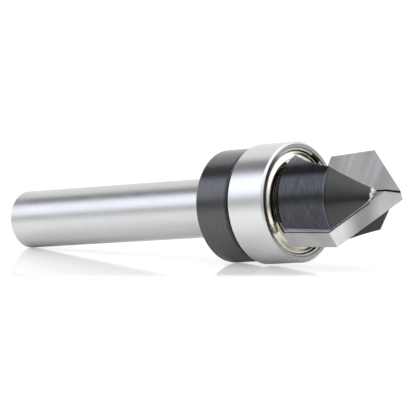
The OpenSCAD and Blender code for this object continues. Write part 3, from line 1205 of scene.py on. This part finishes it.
@dataclass
class Studio:
    """The photograph's white table, the light round the bit, and the camera.

    The wall ahead of the bit goes from wall_low at the table's level to wall_high above it.
    """

    shank_r_mm: float = 3.175
    shank_touch_mm: float = 1.0
    collar_r_mm: float = 6.0
    collar_touch_mm: float = 30.87
    table_side_deg: float = 217.0
    table_reach: float = 0.6
    table_edge_row: float = 275.5
    table_edge_soft: float = 0.0002
    table_colour: Colour = (0.87, 0.86, 0.84)
    table_roughness: float = 0.05
    table_glow: float = 0.08
    table_veil: float = 0.28
    table_white: float = 1.35
    dim: Colour = (0.11, 0.11, 0.115)
    boxes: tuple[SoftBox, ...] = (
        SoftBox(-10.0, 41.0, 8.0, 0.9),
        SoftBox(-68.0, 14.0, 10.0, 0.25),
        SoftBox(44.0, 11.0, 11.0, 0.1),
        SoftBox(86.0, 18.0, 12.0, 1.55, (0.93, 0.97, 1.08)),
        SoftBox(124.0, 16.0, 8.0, 0.42),
    )
    wall_low: Colour = (0.35, 0.35, 0.36)
    wall_high: Colour = (1.55, 1.57, 1.62)
    wall_from: float = -0.05
    wall_to: float = 0.8
    ahead_from: float = -0.25
    ahead_to: float = 0.35
    lamp_aim: Triple = (0.0, 0.0, 0.027)
    lamp_offset: Triple = (-0.12, 0.05, 0.3)
    lamp_side: float = 0.25
    lamp_watts: float = 0.2
    camera_place_mm: Triple = (-140.30, 190.75, 228.12)
    camera_right: Triple = (0.32991, -0.55836, 0.76117)
    camera_up: Triple = (0.8288, 0.55734, 0.04961)
    focal_pixels: float = 2892.3
    sensor_mm: float = 36.0

    def table_ways(self) -> tuple[Vector, Vector, Vector]:
        """Gives the table's directions.

        The table touches the shank's end and the collar, so it leans a little to the axis.

        Returns:
            Unit directions across the bit, along it and up from the table.
        """
        lean = math.atan2(
            self.collar_r_mm - self.shank_r_mm, self.collar_touch_mm - self.shank_touch_mm
        )
        side = math.radians(self.table_side_deg)
        level = math.cos(lean)
        up = -Vector((math.cos(side) * level, math.sin(side) * level, -math.sin(lean)))
        across = up.cross(Vector((0, 0, 1))).normalized()
        return across, across.cross(up), up

    def add_table(self) -> None:
        """Lays the white table against the shank's end and the collar."""
        across, along, up = self.table_ways()
        side = math.radians(self.table_side_deg)
        x, y = self.shank_r_mm * math.cos(side), self.shank_r_mm * math.sin(side)
        touch = Vector((x, y, self.shank_touch_mm)) * MM
        corners = [
            touch + across * (a * self.table_reach) + along * (b * self.table_reach)
            for a, b in ((-1, -1), (1, -1), (1, 1), (-1, 1))
        ]
        mesh = bpy.data.meshes.new("table")
        mesh.from_pydata([tuple(corner) for corner in corners], [], [(0, 1, 2, 3)])
        mesh.update()
        if mesh.polygons[0].normal.dot(up) < 0:
            mesh.flip_normals()
        table = new_object("table", mesh)
        dress(table, self.table_material())

    def camera_ways(self) -> tuple[Vector, Vector, Vector]:
        """Gives the picture's right, its up and the way back to the camera."""
        right, up = Vector(self.camera_right), Vector(self.camera_up)
        return right, up, right.cross(up)

    def table_edge(self) -> tuple[Vector, float]:
        """The plane through the camera and the picture row where the table top ends.

        Returns:
            The plane's unit normal, towards the far part of the table, and its distance from
            the origin along that normal, in metres.
        """
        _, up, back = self.camera_ways()
        normal = up * self.focal_pixels - back * (self.table_edge_row - PHOTO_PIXELS / 2)
        normal.normalize()
        return normal, normal.dot(Vector(self.camera_place_mm) * MM)

    def table_material(self) -> Material:
        """Makes the table top, which is not there when seen from below.

        The camera sees it only up to the table's edge, where the white wall takes over, and
        partly through a plain white, as in an overexposed picture. Mirrored in the bit, it has
        a faint glow of its own.

        Returns:
            A glossy white.
        """
        material, nodes, shader = new_material("white_table", 0.0)
        nodes.feed(shader, {"Base Color": self.table_colour, "Roughness": self.table_roughness})
        path = nodes.add("ShaderNodeLightPath")
        mirrored = nodes.times(path.outputs["Is Glossy Ray"], self.table_glow)
        glow = nodes.add("ShaderNodeEmission", {"Strength": mirrored}).outputs[0]
        lit = nodes.add("ShaderNodeAddShader", {0: shader.outputs[0], 1: glow}).outputs[0]
        burnt = nodes.add("ShaderNodeEmission", {"Strength": self.table_white}).outputs[0]
        seen = nodes.times(path.outputs["Is Camera Ray"], self.table_veil)
        top = nodes.add("ShaderNodeMixShader", {0: seen, 1: lit, 2: burnt}).outputs[0]
        clear = nodes.add("ShaderNodeBsdfTransparent").outputs[0]
        behind = nodes.add("ShaderNodeNewGeometry").outputs["Backfacing"]
        normal, offset = self.table_edge()
        reach = nodes.dot(nodes.place, tuple(normal))
        past = nodes.step(reach, offset, -self.table_edge_soft)
        hidden = nodes.times(past, path.outputs["Is Camera Ray"])
        gone = nodes.math("MAXIMUM", behind, hidden)
        choice = nodes.add("ShaderNodeMixShader", {0: gone, 1: top, 2: clear}).outputs[0]
        output = next(n for n in nodes.tree.nodes if n.bl_idname == "ShaderNodeOutputMaterial")
        nodes.feed(output, {"Surface": choice})
        return material

    def add_world(self) -> None:
        """Surrounds the bit with white walls, soft boxes and the darker gaps between them."""
        world = bpy.data.worlds.new("studio")
        bpy.context.scene.world = world
        world.use_nodes = True
        nodes = Nodes(world.node_tree)
        way = nodes.add("ShaderNodeTexCoord").outputs["Generated"]
        compass = nodes.vector("NORMALIZE", nodes.flat(way)).outputs[0]

        total = nodes.add("ShaderNodeCombineXYZ", dict(enumerate(self.dim))).outputs[0]
        for box in self.boxes:
            middle = math.radians(box.middle_deg)
            toward = nodes.dot(compass, (math.cos(middle), math.sin(middle), 0.0))
            outer = math.cos(math.radians(box.half_width_deg + box.soft_deg))
            inner = math.cos(math.radians(max(0.0, box.half_width_deg - box.soft_deg)))
            share = nodes.ramp(toward, outer, inner, 0.0, box.strength)
            total = nodes.vector("ADD", total, nodes.scale(box.tint, share)).outputs[0]

        height = nodes.dot(way, tuple(self.table_ways()[2]))
        wall = nodes.add(
            "ShaderNodeCombineXYZ",
            {
                part: nodes.ramp(height, self.wall_from, self.wall_to, low, high)
                for part, (low, high) in enumerate(zip(self.wall_low, self.wall_high))
            },
        ).outputs[0]
        ahead = nodes.ramp(nodes.upward(way), self.ahead_from, self.ahead_to)
        around = nodes.blend(ahead, total, wall)
        seen = nodes.add("ShaderNodeLightPath").outputs["Is Camera Ray"]
        colour = nodes.blend(seen, around, WHITE)
        background = nodes.add("ShaderNodeBackground", {"Color": colour, "Strength": 1.0})
        nodes.add("ShaderNodeOutputWorld", {"Surface": background.outputs[0]})

    def add_lamp(self) -> None:
        """Hangs the soft key lamp, which points at the middle of the bit.

        Its offset is given across the bit, along it and up from the table.
        """
        aim = Vector(self.lamp_aim)
        place = aim.copy()
        for way, length in zip(self.table_ways(), self.lamp_offset):
            place += way * length
        lamp = bpy.data.lights.new("key_lamp", "AREA")
        lamp.size = self.lamp_side
        lamp.energy = self.lamp_watts
        holder = new_object("key_lamp", lamp)
        turn = (place - aim).to_track_quat("Z", "Y")
        holder.matrix_world = Matrix.LocRotScale(place, turn, None)
        holder.visible_glossy = False

    def add_camera(self) -> None:
        """Stands the camera where the photograph was taken from."""
        lens = bpy.data.cameras.new("photo_camera")
        lens.sensor_width = self.sensor_mm
        lens.lens = self.focal_pixels * self.sensor_mm / PHOTO_PIXELS
        lens.clip_start = 0.01
        lens.clip_end = 10.0
        camera = new_object("photo_camera", lens)
        turn = Matrix(self.camera_ways()).transposed().to_4x4()
        camera.matrix_world = Matrix.Translation(Vector(self.camera_place_mm) * MM) @ turn
        bpy.context.scene.camera = camera

    def build(self) -> None:
        """Sets the table, the light and the camera."""
        self.add_camera()
        self.add_table()
        self.add_world()
        self.add_lamp()
        bpy.context.scene.view_settings.view_transform = "Standard"
        LOG.info("studio ready")


def main() -> None:
    """Dresses the bit piece by piece and sets the studio."""
    logging.basicConfig(level=logging.INFO, format="%(message)s")
    effects = Effects(turned_marks_group(), handling_group(), rounded_edges_group())
    cutter = Cutter(effects)
    cutter.dress()
    cutter.add_beads()
    StopCollar(effects).dress()
    bearing = GuideBearing(effects)
    bearing.dress()
    bearing.add_shields()
    bearing.add_snap_rings()
    Studio().build()


if __name__ == "__main__":
    main()
